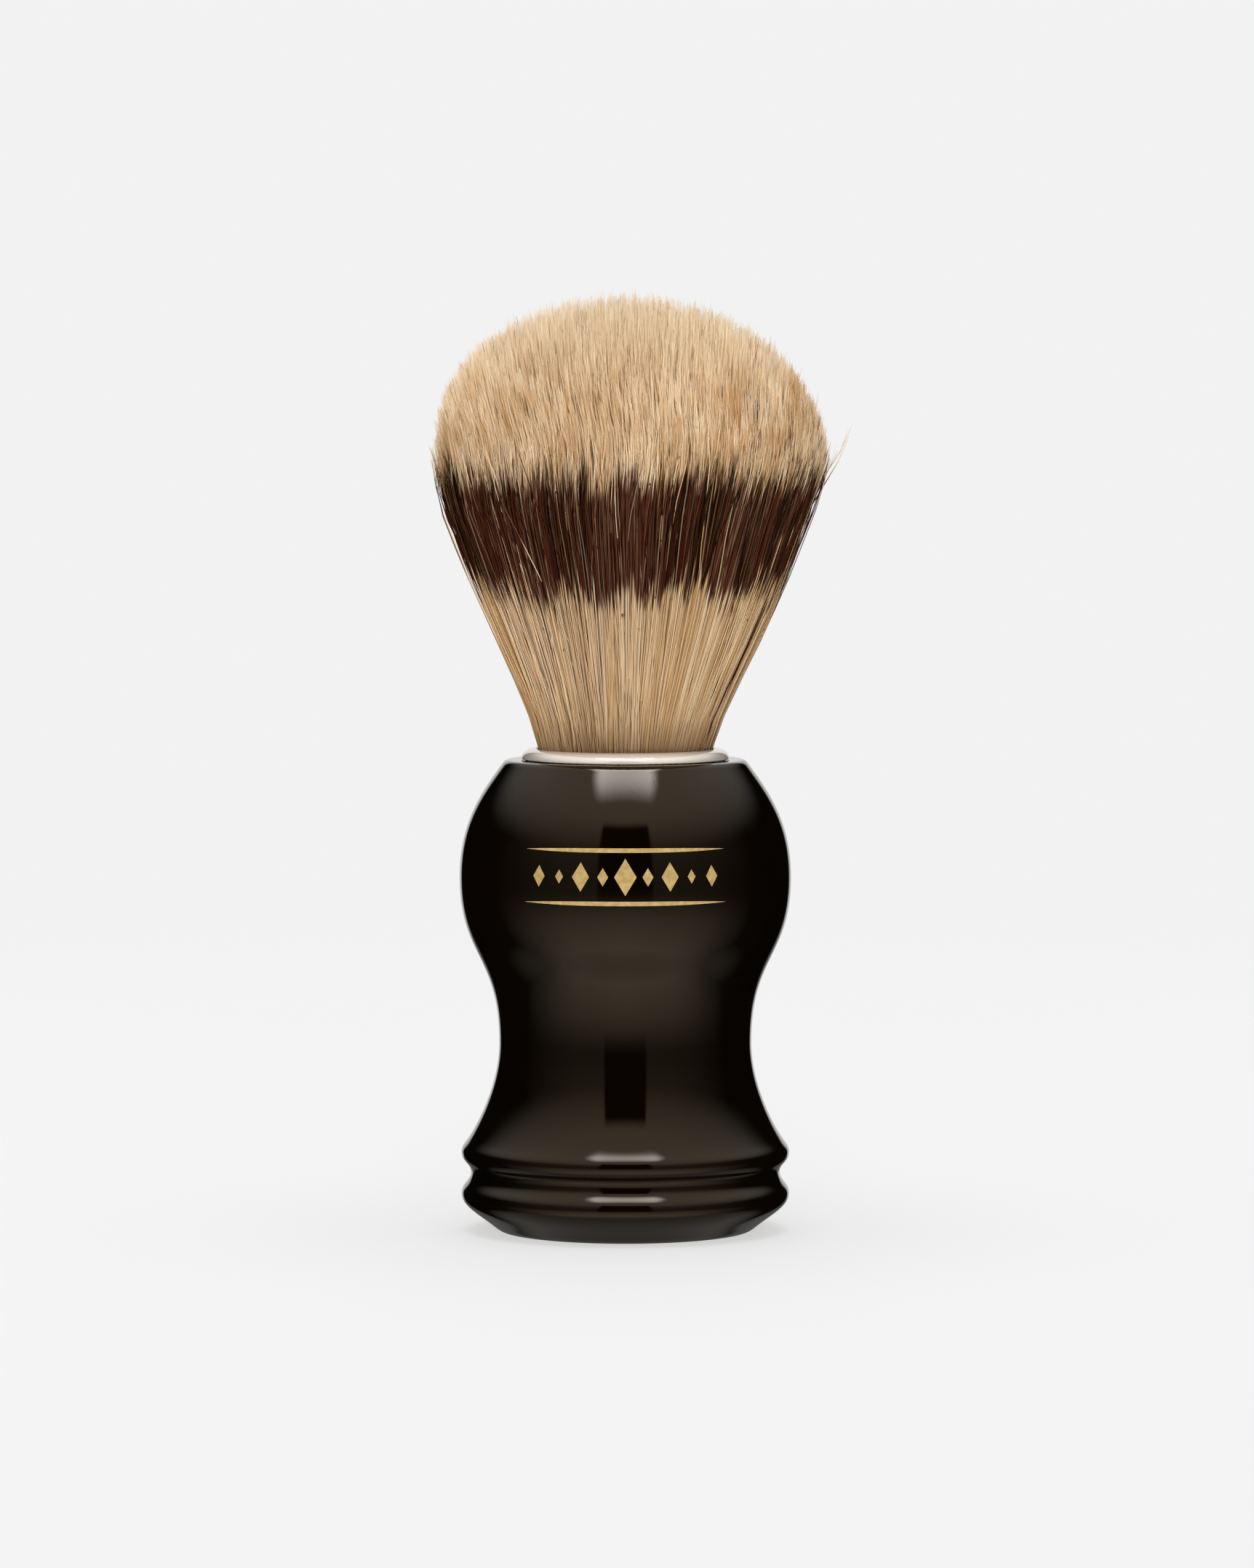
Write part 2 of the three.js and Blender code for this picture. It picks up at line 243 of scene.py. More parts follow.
def eased(corners, radius, steps=4):
    """The same outline with each inner corner turned into a small round."""
    points = [corners[0]]
    for before, corner, after in zip(corners, corners[1:], corners[2:]):
        before, corner, after = Vector(before), Vector(corner), Vector(after)
        entry = (before - corner).normalized() * min(radius, (before - corner).length / 2)
        leave = (after - corner).normalized() * min(radius, (after - corner).length / 2)
        points.append(tuple(corner + entry))
        points += bezier(corner + entry, corner + entry * 0.4, corner + leave * 0.4,
                         corner + leave, steps)
    return points + [corners[-1]]


def lathe(name, outline, segments, sharp=40):
    """A turned solid from an outline in mm that ends on the axis or closes on itself."""
    closed = outline[0] == outline[-1]
    ring_points = outline[:-1] if closed else outline
    angles = [2 * math.pi * i / segments for i in range(segments)]
    vertices, rings = [], []
    for radius, height in ring_points:
        on_axis = radius < 1e-6
        ring = []
        for angle in angles[:1] if on_axis else angles:
            ring.append(len(vertices))
            vertices.append((radius * MM * math.cos(angle), radius * MM * math.sin(angle),
                             height * MM))
        rings.append(ring * segments if on_axis else ring)
    faces = []
    pairs = list(zip(rings, rings[1:])) + ([(rings[-1], rings[0])] if closed else [])
    for low, high in pairs:
        for i in range(segments):
            j = (i + 1) % segments
            corners = dict.fromkeys((low[i], low[j], high[j], high[i]))
            faces.append(list(corners))
    mesh = bpy.data.meshes.new(name)
    mesh.from_pydata(vertices, [], faces)
    mesh.shade_smooth()
    mesh.set_sharp_from_angle(angle=math.radians(sharp))
    piece = bpy.data.objects.new(name, mesh)
    bpy.context.scene.collection.objects.link(piece)
    return piece


foot_r, bead_r, groove_r, flare_r = 15.0, 19.55, 18.42, 18.75
waist_r, belly_r, shoulder_r = 15.03, 19.74, 14.75
lower_bead_z, groove_z, upper_bead_z, flare_z = 4.4, 6.95, 9.35, 10.9
waist_z, belly_z, shoulder_z = 22.4, 42.1, 56.15
bead_round = 1.1
socket_r, socket_floor_z = 11.95, 39.0
hollow_r, hollow_top_z, cap_seat_r, cap_seat_z = 10.6, 36.0, 13.0, 1.9

outer_wall = [(foot_r - 0.7, 0.0)]
outer_wall += bezier(outer_wall[-1], (foot_r, 0), (foot_r, 0), (foot_r + 0.65, 0.45), 6)
outer_wall += bezier(outer_wall[-1], (foot_r + 2.6, 2.05), (bead_r, 3.0), (bead_r, lower_bead_z), 16)
outer_wall += bezier((bead_r, lower_bead_z), (bead_r, lower_bead_z + bead_round),
                     (groove_r, groove_z - bead_round), (groove_r, groove_z), 10)
outer_wall += bezier((groove_r, groove_z), (groove_r, groove_z + bead_round),
                     (bead_r, upper_bead_z - bead_round), (bead_r, upper_bead_z), 10)
outer_wall += bezier((bead_r, upper_bead_z), (bead_r, upper_bead_z + 0.6),
                     (flare_r + 0.45, flare_z - 0.65), (flare_r, flare_z), 8)
outer_wall += bezier((flare_r, flare_z), (flare_r - 1.2, flare_z + 1.8),
                     (waist_r, waist_z - 4.9), (waist_r, waist_z), 22)
outer_wall += bezier((waist_r, waist_z), (waist_r, waist_z + 10.6),
                     (belly_r, belly_z - 9.4), (belly_r, belly_z), 30)
outer_wall += bezier((belly_r, belly_z), (belly_r, belly_z + 6.1),
                     (shoulder_r + 2.75, shoulder_z - 4.35), (shoulder_r, shoulder_z - 0.65), 24)
outer_wall += bezier(outer_wall[-1], (shoulder_r - 0.3, shoulder_z - 0.22),
                     (shoulder_r - 0.55, shoulder_z), (shoulder_r - 0.95, shoulder_z), 8)
inside_foot = [(0.0, hollow_top_z), (hollow_r - 3, hollow_top_z), (hollow_r, hollow_top_z - 3),
               (hollow_r, cap_seat_z), (cap_seat_r, cap_seat_z), (cap_seat_r, 0.0)]
socket = [(socket_r, shoulder_z), (socket_r, socket_floor_z), (0.0, socket_floor_z)]
handle_shell = lathe("handle_shell_fine", inside_foot + outer_wall + socket, 192)


def material(name, roughness, metallic=0.0):
    """A new node material; gives back the material, its tree and its shader."""
    made = bpy.data.materials.new(name)
    made.use_nodes = True
    shader = made.node_tree.nodes["Principled BSDF"]
    shader.inputs["Roughness"].default_value = roughness
    shader.inputs["Metallic"].default_value = metallic
    return made, made.node_tree, shader


def new_group(name, inputs, outputs):
    """An empty shader node group with named number inputs and named outputs."""
    group = bpy.data.node_groups.new(name, "ShaderNodeTree")
    for label, value in inputs.items():
        colour = isinstance(value, tuple)
        made = group.interface.new_socket(
            label, in_out="INPUT", socket_type="NodeSocketColor" if colour else "NodeSocketFloat")
        made.default_value = (*value, 1) if colour else value
    for label, kind in outputs.items():
        group.interface.new_socket(label, in_out="OUTPUT", socket_type=kind)
    return group, group.nodes.new("NodeGroupInput"), group.nodes.new("NodeGroupOutput")


# Handling marks: a cloudy film and fine hairlines that change the gloss a little
marks, marks_in, marks_out = new_group(
    "handling_marks",
    {"Gloss": 0.1, "Film": 0.02, "Hairlines": 0.02, "Film Scale": 60.0, "Line Scale": 900.0},
    {"Roughness": "NodeSocketFloat", "Height": "NodeSocketFloat"})
place = node(marks, "ShaderNodeTexCoord").outputs["Object"]
film = node(marks, "ShaderNodeTexNoise", detail=4.0)
marks.links.new(place, film.inputs["Vector"])
marks.links.new(marks_in.outputs["Film Scale"], film.inputs["Scale"])
stretch = node(marks, "ShaderNodeMapping")
stretch.inputs["Scale"].default_value = (1.0, 1.0, 0.04)
stretch.inputs["Rotation"].default_value = (0.6, 0.3, 0.0)
marks.links.new(place, stretch.inputs["Vector"])
lines = node(marks, "ShaderNodeTexNoise", detail=2.0)
marks.links.new(stretch.outputs[0], lines.inputs["Vector"])
marks.links.new(marks_in.outputs["Line Scale"], lines.inputs["Scale"])
line_mask = fade(marks, lines.outputs["Fac"], 0.62, 0.72)
film_part = math_node(marks, "MULTIPLY", math_node(
    marks, "SUBTRACT", film.outputs["Fac"], 0.5), marks_in.outputs["Film"])
line_part = math_node(marks, "MULTIPLY", line_mask, marks_in.outputs["Hairlines"])
rough_sum = math_node(marks, "ADD", marks_in.outputs["Gloss"],
                      math_node(marks, "ADD", film_part, line_part))
marks.links.new(rough_sum, marks_out.inputs["Roughness"])
marks.links.new(math_node(marks, "ADD", film.outputs["Fac"], line_mask),
                marks_out.inputs["Height"])


def add_marks(tree, shader, bump, **values):
    """Place the handling marks in a material, for its roughness and a faint bump."""
    used = tree.nodes.new("ShaderNodeGroup")
    used.node_tree = marks
    for key, value in values.items():
        used.inputs[key.replace("_", " ").title()].default_value = value
    tree.links.new(used.outputs["Roughness"], shader.inputs["Roughness"])
    relief = node(tree, "ShaderNodeBump", strength=bump)
    relief.inputs["Distance"].default_value = 0.00002
    tree.links.new(used.outputs["Height"], relief.inputs["Height"])
    tree.links.new(relief.outputs[0], shader.inputs["Normal"])


resin, resin_tree, resin_shader = material("black_resin", 0.1)
resin_shader.inputs["IOR"].default_value = 1.5
resin_shader.inputs["Specular Tint"].default_value = (1.0, 0.80, 0.55, 1)
cloud = node(resin_tree, "ShaderNodeTexNoise", detail=3.0, scale=45.0)
resin_tree.links.new(node(resin_tree, "ShaderNodeTexCoord").outputs["Object"],
                     cloud.inputs["Vector"])
resin_tree.links.new(
    ramp(resin_tree, cloud.outputs["Fac"], [(0.3, (0.0014, 0.0007, 0.0002)),
                                            (0.7, (0.0024, 0.0012, 0.0004))]),
    resin_shader.inputs["Base Color"])
add_marks(resin_tree, resin_shader, 0.05, gloss=0.05, film=0.03, hairlines=0.02)
handle_shell.data.materials.append(resin)
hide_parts("handle_shell")
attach(handle_shell, "handle")

# ---------------------------------------------------------------------------
# Base cap: a satin disc pressed and glued into the foot, flush with the rim.
# It has a shallow ring groove that lets it sit steady on a wet shelf.
# ---------------------------------------------------------------------------
cap_low, cap_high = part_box("base_cap")
cap_r, cap_top = cap_high.x / MM, cap_high.z / MM
cap_step_z = 1.6
spigot_r = hollow_r - 0.3
groove_in, groove_out, groove_depth = 8.2, 9.4, 0.35
cap_outline = eased(
    [(0.0, 0.0), (groove_in, 0.0), (groove_in, groove_depth), (groove_out, groove_depth),
     (groove_out, 0.0), (cap_r, 0.0), (cap_r, cap_step_z), (spigot_r, cap_step_z),
     (spigot_r, cap_top), (0.0, cap_top)], 0.2)
base_cap = lathe("base_cap_fine", cap_outline, 96)
satin, satin_tree, satin_shader = material("satin_plastic", 0.45)
grain = node(satin_tree, "ShaderNodeTexNoise", scale=900.0, detail=3.0)
satin_tree.links.new(node(satin_tree, "ShaderNodeTexCoord").outputs["Object"],
                     grain.inputs["Vector"])
satin_tree.links.new(
    ramp(satin_tree, grain.outputs["Fac"], [(0.35, (0.012, 0.010, 0.009)),
                                            (0.7, (0.022, 0.019, 0.017))]),
    satin_shader.inputs["Base Color"])
add_marks(satin_tree, satin_shader, 0.3, gloss=0.42, film=0.1, hairlines=0.1)
base_cap.data.materials.append(satin)
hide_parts("base_cap")
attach(base_cap, "handle")

# ---------------------------------------------------------------------------
# Gold ornament: foil hot-stamped on the belly, a chain of lozenges between two
# tapered rules. It stands a hair's breadth proud of the resin.
# ---------------------------------------------------------------------------
ornament_z, ornament_half = 43.5, 12.6
rule_offset, rule_thick = 3.1, 0.5
lozenge_count, lozenge_pitch = 9, 2.65
foil_proud, foil_sunk = 0.03, 0.02


def wall_radius(height):
    """Radius of the handle's outer wall at a height, in mm, between its points."""
    heights = [z for _, z in outer_wall]
    radii = [r for r, _ in outer_wall]
    return float(np.interp(height, heights, radii))


def foil_patch(centre, half_length, top, bottom, columns):
    """A thin closed patch on the wall; top and bottom give its edges along its length."""
    vertices = []
    for lift in (foil_proud, -foil_sunk):
        for column in range(columns + 1):
            along = -1 + 2 * column / columns
            for height in (bottom(along), 0.5 * (bottom(along) + top(along)), top(along)):
                z = ornament_z + height
                radius = wall_radius(z) + lift
                angle = (centre + along * half_length) / belly_r
                vertices.append((radius * math.sin(angle) * MM, -radius * math.cos(angle) * MM,
                                 z * MM))
    back = 3 * (columns + 1)
    faces = []
    for column in range(columns):
        for row in range(2):
            a = 3 * column + row
            faces.append((a, a + 3, a + 4, a + 1))
            faces.append((back + a, back + a + 1, back + a + 4, back + a + 3))
        low, high = 3 * column, 3 * column + 2
        faces.append((low, back + low, back + low + 3, low + 3))
        faces.append((high, high + 3, back + high + 3, back + high))
    for end, flip in ((0, False), (3 * columns, True)):
        for row in range(2):
            rim = (end + row, end + row + 1, back + end + row + 1, back + end + row)
            faces.append(rim[::-1] if flip else rim)
    return vertices, faces


ornament_vertices, ornament_faces = [], []


def add_foil(*patch):
    vertices, faces = foil_patch(*patch)
    shift = len(ornament_vertices)
    ornament_vertices.extend(vertices)
    ornament_faces.extend(tuple(i + shift for i in face) for face in faces)


for side in (1, -1):
    def rule_top(along, side=side):
        return side * rule_offset + 0.5 * rule_thick * (1.02 - abs(along) ** 3)

    def rule_bottom(along, side=side):
        return side * rule_offset - 0.5 * rule_thick * (1.02 - abs(along) ** 3)

    add_foil(0.0, ornament_half, rule_top, rule_bottom, 48)
for i in range(lozenge_count):
    place_x = (i - (lozenge_count - 1) / 2) * lozenge_pitch
    size = 1.0 - 0.5 * abs(place_x) / ornament_half
    if i % 2:
        size *= 0.55

    def lozenge_top(along, size=size):
        return 2.15 * size * (1.01 - abs(along))

    def lozenge_bottom(along, size=size):
        return -2.15 * size * (1.01 - abs(along))

    add_foil(place_x, 1.3 * size, lozenge_top, lozenge_bottom, 12)
ornament_mesh = bpy.data.meshes.new("gold_ornament")
ornament_mesh.from_pydata(ornament_vertices, [], ornament_faces)
gold_ornament = bpy.data.objects.new("gold_ornament", ornament_mesh)
bpy.context.scene.collection.objects.link(gold_ornament)
foil, foil_tree, foil_shader = material("gold_foil", 0.4, 0.45)
foil_grain = node(foil_tree, "ShaderNodeTexNoise", scale=1600.0, detail=4.0)
foil_tree.links.new(node(foil_tree, "ShaderNodeTexCoord").outputs["Object"],
                    foil_grain.inputs["Vector"])
foil_tree.links.new(
    ramp(foil_tree, foil_grain.outputs["Fac"], [(0.3, (0.50, 0.335, 0.115)),
                                                (0.7, (0.70, 0.50, 0.21))]),
    foil_shader.inputs["Base Color"])
add_marks(foil_tree, foil_shader, 0.6, gloss=0.36, film=0.2, hairlines=0.1, film_scale=700.0)
ornament_mesh.materials.append(foil)
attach(gold_ornament, "handle")

# ---------------------------------------------------------------------------
# Ballast weight: a turned steel slug in the hollow of the foot. It gives the
# light moulding its heft and keeps the brush upright.
# ---------------------------------------------------------------------------


def dress(node_name, finish):
    """Give a piece that keeps its own solid a finish of its own."""
    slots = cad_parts[node_name].material_slots
    if not slots:
        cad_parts[node_name].data.materials.append(finish)
    for used in slots:
        used.material = finish


def turned_metal(name, colour, roughness, ring_pitch):
    """Bare metal from the lathe, with fine tool rings around the axis."""
    made, tree, shader = material(name, roughness, 1.0)
    coordinates = node(tree, "ShaderNodeTexCoord").outputs["Object"]
    parts = node(tree, "ShaderNodeSeparateXYZ")
    tree.links.new(coordinates, parts.inputs["Vector"])
    radial = math_node(tree, "SQRT", math_node(
        tree, "ADD", math_node(tree, "POWER", parts.outputs[0], 2.0),
        math_node(tree, "POWER", parts.outputs[1], 2.0)))
    phase = math_node(tree, "MULTIPLY", math_node(tree, "ADD", radial, parts.outputs[2]),
                      2 * math.pi / (ring_pitch * MM))
    rings = math_node(tree, "SINE", phase)
    shade = fade(tree, rings, -1.0, 1.0)
    dark = tuple(0.8 * part for part in colour)
    tree.links.new(ramp(tree, shade, [(0.0, dark), (1.0, colour)]), shader.inputs["Base Color"])
    relief = node(tree, "ShaderNodeBump", strength=0.4)
    relief.inputs["Distance"].default_value = 0.00003
    tree.links.new(rings, relief.inputs["Height"])
    tree.links.new(relief.outputs[0], shader.inputs["Normal"])
    return made


dress("ballast_weight", turned_metal("turned_steel", (0.42, 0.43, 0.45), 0.4, 0.35))

# ---------------------------------------------------------------------------
# Socket adhesive and resin plug: amber epoxy, poured while runny. The plug locks
# the bristle ends together, the bed glues the knot down in the handle.
# ---------------------------------------------------------------------------


def cured_epoxy(name, pale, deep):
    """Clouded amber epoxy with a few trapped bubbles."""
    made, tree, shader = material(name, 0.25)
    coordinates = node(tree, "ShaderNodeTexCoord").outputs["Object"]
    haze = node(tree, "ShaderNodeTexNoise", scale=220.0, detail=4.0)
    bubbles = node(tree, "ShaderNodeTexVoronoi", scale=900.0)
    tree.links.new(coordinates, haze.inputs["Vector"])
    tree.links.new(coordinates, bubbles.inputs["Vector"])
    tree.links.new(ramp(tree, haze.outputs["Fac"], [(0.3, deep), (0.7, pale)]),
                   shader.inputs["Base Color"])
    relief = node(tree, "ShaderNodeBump", strength=0.3)
    relief.inputs["Distance"].default_value = 0.0001
    tree.links.new(fade(tree, bubbles.outputs["Distance"], 0.0, 0.25), relief.inputs["Height"])
    tree.links.new(relief.outputs[0], shader.inputs["Normal"])
    return made


dress("socket_adhesive", cured_epoxy("glue_bed", (0.60, 0.46, 0.24), (0.42, 0.29, 0.12)))
dress("knot_resin_plug", cured_epoxy("plug_resin", (0.52, 0.36, 0.15), (0.33, 0.21, 0.08)))

# ---------------------------------------------------------------------------
# Knot ferrule: a thin spun aluminium cup that holds the plug and the roots.
# It drops into the handle's socket on the glue bed.
# ---------------------------------------------------------------------------
dress("knot_ferrule", turned_metal("spun_aluminium", (0.66, 0.66, 0.67), 0.3, 0.5))

# ---------------------------------------------------------------------------
# Knot twine: waxed two-ply cotton, wound tight round the roots above the plug
# before the epoxy is poured.
# ---------------------------------------------------------------------------
twine_low, twine_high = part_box("knot_twine")
twine_d, ply_d, ply_turns = 0.8, 0.42, 36
twine_turns = 3.0
wind_r = (twine_high.x / MM) - twine_d / 2
wind_low, wind_high = twine_low.z / MM + twine_d / 2, twine_high.z / MM - twine_d / 2
cotton, cotton_tree, cotton_shader = material("waxed_cotton", 0.7)
fibre = node(cotton_tree, "ShaderNodeTexNoise", scale=2500.0, detail=5.0)
cotton_tree.links.new(node(cotton_tree, "ShaderNodeTexCoord").outputs["Object"],
                      fibre.inputs["Vector"])
cotton_tree.links.new(
    ramp(cotton_tree, fibre.outputs["Fac"], [(0.3, (0.50, 0.43, 0.30)),
                                             (0.7, (0.72, 0.66, 0.52))]),
    cotton_shader.inputs["Base Color"])
fibre_relief = node(cotton_tree, "ShaderNodeBump", strength=0.5)
fibre_relief.inputs["Distance"].default_value = 0.00005
cotton_tree.links.new(fibre.outputs["Fac"], fibre_relief.inputs["Height"])
cotton_tree.links.new(fibre_relief.outputs[0], cotton_shader.inputs["Normal"])


def tube_parts(paths, radii, sides):
    """Closed tubes along paths (strands, points, 3) with radii (strands, points): their
    points, the corners of their faces and the number of corners of each face."""
    strands, points = radii.shape
    step = np.gradient(paths, axis=1)
    step /= np.linalg.norm(step, axis=2, keepdims=True)
    aside = np.cross(step, np.array([0.0, 0.0, 1.0]))
    flat = np.linalg.norm(aside, axis=2, keepdims=True) < 1e-4
    aside = np.where(flat, np.array([1.0, 0.0, 0.0]), aside)
    aside /= np.linalg.norm(aside, axis=2, keepdims=True)
    other = np.cross(step, aside)
    turns = np.arange(sides) * 2 * math.pi / sides
    ring = (np.cos(turns)[None, None, :, None] * aside[:, :, None, :]
            + np.sin(turns)[None, None, :, None] * other[:, :, None, :])
    vertices = paths[:, :, None, :] + ring * radii[:, :, None, None]
    first = np.arange(strands)[:, None, None] * points * sides
    low = np.arange(points - 1)[None, :, None] * sides
    here = np.arange(sides)[None, None, :]
    beside = (here + 1) % sides
    quads = np.stack([first + low + here, first + low + beside,
                      first + low + sides + beside, first + low + sides + here], axis=-1)
    root_caps = first[:, :, 0] + np.arange(sides)[None, ::-1]
    tip_caps = first[:, :, 0] + (points - 1) * sides + np.arange(sides)[None, :]
    corners = np.concatenate([quads.ravel(), root_caps.ravel(), tip_caps.ravel()])
    totals = np.concatenate([np.full(quads.size // 4, 4), np.full(2 * strands, sides)])
    return vertices.reshape(-1, 3), corners, totals


def tube_mesh(name, batches, sides):
    """One object of closed tubes; each batch is paths and radii in metres."""
    points, corners, totals = [], [], []
    for paths, radii in batches:
        batch_points, batch_corners, batch_totals = tube_parts(paths, radii, sides)
        corners.append(batch_corners + sum(map(len, points)))
        points.append(batch_points)
        totals.append(batch_totals)
    points, corners, totals = map(np.concatenate, (points, corners, totals))
    mesh = bpy.data.meshes.new(name)
    mesh.vertices.add(len(points))
    mesh.vertices.foreach_set("co", points.astype(np.float32).ravel())
    mesh.loops.add(len(corners))
    mesh.loops.foreach_set("vertex_index", corners.astype(np.int32))
    mesh.polygons.add(len(totals))
    starts = np.concatenate([[0], np.cumsum(totals)[:-1]])
    mesh.polygons.foreach_set("loop_start", starts.astype(np.int32))
    mesh.update(calc_edges=True)
    mesh.shade_smooth()
    piece = bpy.data.objects.new(name, mesh)
    bpy.context.scene.collection.objects.link(piece)
    return piece


wound = np.linspace(0.0, 1.0, 700)
wind_angle = 2 * math.pi * twine_turns * wound
twist = 2 * math.pi * ply_turns * wound
plies = []
for ply in (0.0, math.pi):
    out = wind_r + 0.5 * ply_d * np.cos(twist + ply) * 0.9
    rise = wind_low + (wind_high - wind_low) * wound + 0.5 * ply_d * np.sin(twist + ply) * 0.9
    plies.append(np.stack([out * np.cos(wind_angle), out * np.sin(wind_angle), rise], axis=-1))
plies = np.array(plies) * MM
twine = tube_mesh("knot_twine_plies", [(plies, np.full(plies.shape[:2], ply_d / 2 * MM))], 8)
twine.data.materials.append(cotton)
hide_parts("knot_twine")
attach(twine, "handle")

# ---------------------------------------------------------------------------
# Collar ring: a small half-round ring, chrome plated and polished. It covers the
# edge of the socket and pinches the bristles where they leave the handle.
# ---------------------------------------------------------------------------
collar_low, collar_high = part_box("collar_ring")
collar_r, collar_z, collar_top = collar_high.x / MM, collar_low.z / MM, collar_high.z / MM
collar_bore, collar_crest_r = 10.55, 10.85
collar_outline = [(collar_bore, collar_z), (collar_r - 0.15, collar_z)]
collar_outline += bezier(collar_outline[-1], (collar_r, collar_z), (collar_r, collar_z + 0.05),
                         (collar_r, collar_z + 0.15), 5)
collar_outline += bezier(collar_outline[-1], (collar_r - 0.15, collar_z + 0.75),
                         (collar_r - 0.75, collar_top), (collar_crest_r, collar_top), 24)
collar_outline += bezier(collar_outline[-1], (collar_bore, collar_top),
                         (collar_bore, collar_top - 0.1), (collar_bore, collar_top - 0.35), 6)
collar_outline += [(collar_bore, collar_z)]
collar_ring = lathe("collar_ring_fine", collar_outline, 192)
# Partly a painted reflection: the pale cream base of this half-metal finish stands in for the white
# surroundings the plating reflects
plate, plate_tree, plate_shader = material("chrome_plate", 0.30, 0.42)
plate_cloud = node(plate_tree, "ShaderNodeTexNoise", scale=300.0, detail=3.0)
plate_tree.links.new(node(plate_tree, "ShaderNodeTexCoord").outputs["Object"],
                     plate_cloud.inputs["Vector"])
plate_tree.links.new(
    ramp(plate_tree, plate_cloud.outputs["Fac"], [(0.3, (0.79, 0.73, 0.65)),
                                                  (0.7, (0.85, 0.79, 0.71))]),
    plate_shader.inputs["Base Color"])
add_marks(plate_tree, plate_shader, 0.1, gloss=0.1, film=0.05, hairlines=0.06,
          film_scale=250.0)
collar_ring.data.materials.append(plate)
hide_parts("collar_ring")
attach(collar_ring, "handle")

# ---------------------------------------------------------------------------
# Bristles: bleached boar hair, dyed with one dark band before bundling. Root ends
# sit packed in the ferrule; the free ends fan out and finish in a soft dome.
# Each tuft of the knot is a piece of its own, made of single tapered hairs.
# ---------------------------------------------------------------------------
neck_r, neck_z = 10.15, 57.6
fan_r, fan_z, fan_top = 22.95, 92.3, 111.6
ball_z, ball_r = 66.0, 13.55
hair_count, clump_count, lock_count = 17000, 1300, 190
root_d, tip_d, split_d = 0.16, 0.11, 0.04
hair_points, split_points = 10, 3
fan_lean, fan_swell, swell_z, swell_span = 0.35, 0.7, 93.0, 5.0
dome_fullness = 0.87
golden = math.pi * (3 - math.sqrt(5))
draw = np.random.default_rng(41)


def disc_spread(count, jitter):
    """Evenly spread points of a unit disc, as (x, y)."""
    index = np.arange(count)
    share = np.sqrt((index + 0.5) / count)
    angle = index * golden
    return (np.stack([share * np.cos(angle), share * np.sin(angle)], axis=1)
            + draw.normal(0, jitter, (count, 2)))


def within_disc(xy, reach=1.0):
    """The same points, with any beyond the reach drawn back to it."""
    size = np.hypot(*xy.T)[:, None]
    return xy * np.minimum(1.0, reach / np.maximum(size, 1e-9))


def nearest(centres, xy):
    """The index of the nearest centre to each point."""
    return np.array([np.argmin(((centres - one) ** 2).sum(axis=1)) for one in xy])


def fan_growth(rise):
    """How far a hair has fanned out, 0 to 1, at a share of its height."""
    stops = (0.0, 0.08, 0.24, 0.39, 0.55, 0.70, 0.78, 0.85, 0.93, 1.0)
    spread = (0.0, 0.075, 0.250, 0.430, 0.615, 0.770, 0.855, 0.920, 0.970, 1.0)
    return np.interp(rise, stops, spread)


def hair_paths(root_xy, tip_xy, waist_pull, length):
    """Paths in mm of hairs from their places in the ferrule to their tips on the dome.
    waist_pull moves the middle of each hair sideways, towards the lock it lies in."""
    root = root_xy * neck_r
    foot_z = ball_z - np.sqrt(ball_r**2 - (root**2).sum(axis=1))
    tip_share = np.hypot(*tip_xy.T)
    lean = tip_share * math.pi / 2
    tip = tip_xy / np.maximum(tip_share, 1e-9)[:, None] * (fan_r * np.sin(lean))[:, None]
    tip_z = fan_z + (fan_top - fan_z) * np.maximum(np.cos(lean), 0.0) ** dome_fullness
    t = (1 - (1 - np.linspace(0.0, 1.0, hair_points)) ** 1.12)[None, :] * length[:, None]
    height = foot_z[:, None] + (tip_z - foot_z)[:, None] * t
    rise = np.clip((height - neck_z) / (tip_z[:, None] - neck_z), 0, 1)
    grown = fan_growth(rise)[:, :, None]
    bow = np.sin(math.pi * rise**0.8)[:, :, None]
    xy = root[:, None, :] * (1 - grown) + tip[:, None, :] * grown
    xy += bow * waist_pull[:, None, :] * (neck_r + (fan_r - neck_r) * grown)
    xy[:, :, 0] += fan_lean * np.sin(math.pi * rise)
    xy[:, :, 0] += fan_swell * np.exp(-((height - swell_z) / swell_span) ** 2)
    return np.concatenate([xy, height[:, :, None]], axis=2), rise


root_xy = within_disc(disc_spread(hair_count, 0.006))
share = np.hypot(*root_xy.T)
angle = np.arctan2(root_xy[:, 1], root_xy[:, 0])
clump_xy = disc_spread(clump_count, 0.012)
lock_xy = disc_spread(lock_count, 0.03)
own_clump = nearest(clump_xy, root_xy)
own_lock = nearest(lock_xy, clump_xy)[own_clump]
to_clump = clump_xy[own_clump] - root_xy
to_lock = lock_xy[own_lock] - root_xy
waist_pull = to_clump * draw.uniform(0.15, 0.75, clump_count)[own_clump][:, None]
waist_pull += to_lock * draw.uniform(0.0, 0.22, lock_count)[own_lock][:, None]
tip_xy = root_xy + to_clump * draw.uniform(-0.1, 0.30, clump_count)[own_clump][:, None]
tip_xy += to_lock * draw.uniform(0.0, 0.3, lock_count)[own_lock][:, None]
tip_xy += draw.normal(0, 0.012, (clump_count, 2))[own_clump]
wayward = draw.random(hair_count) < 0.14
tip_xy += draw.normal(0, 1.0, (hair_count, 2)) * np.where(wayward, 0.062, 0.016)[:, None]
tip_xy = within_disc(tip_xy, 1.015)
length = 1.0 - draw.gamma(1.6, 0.014, hair_count)
length -= draw.normal(0, 0.003, clump_count)[own_clump]
broken = draw.random(hair_count) < 0.04
length = np.where(broken, draw.uniform(0.55, 0.95, hair_count), length)
paths, rise = hair_paths(root_xy, tip_xy, waist_pull, length)

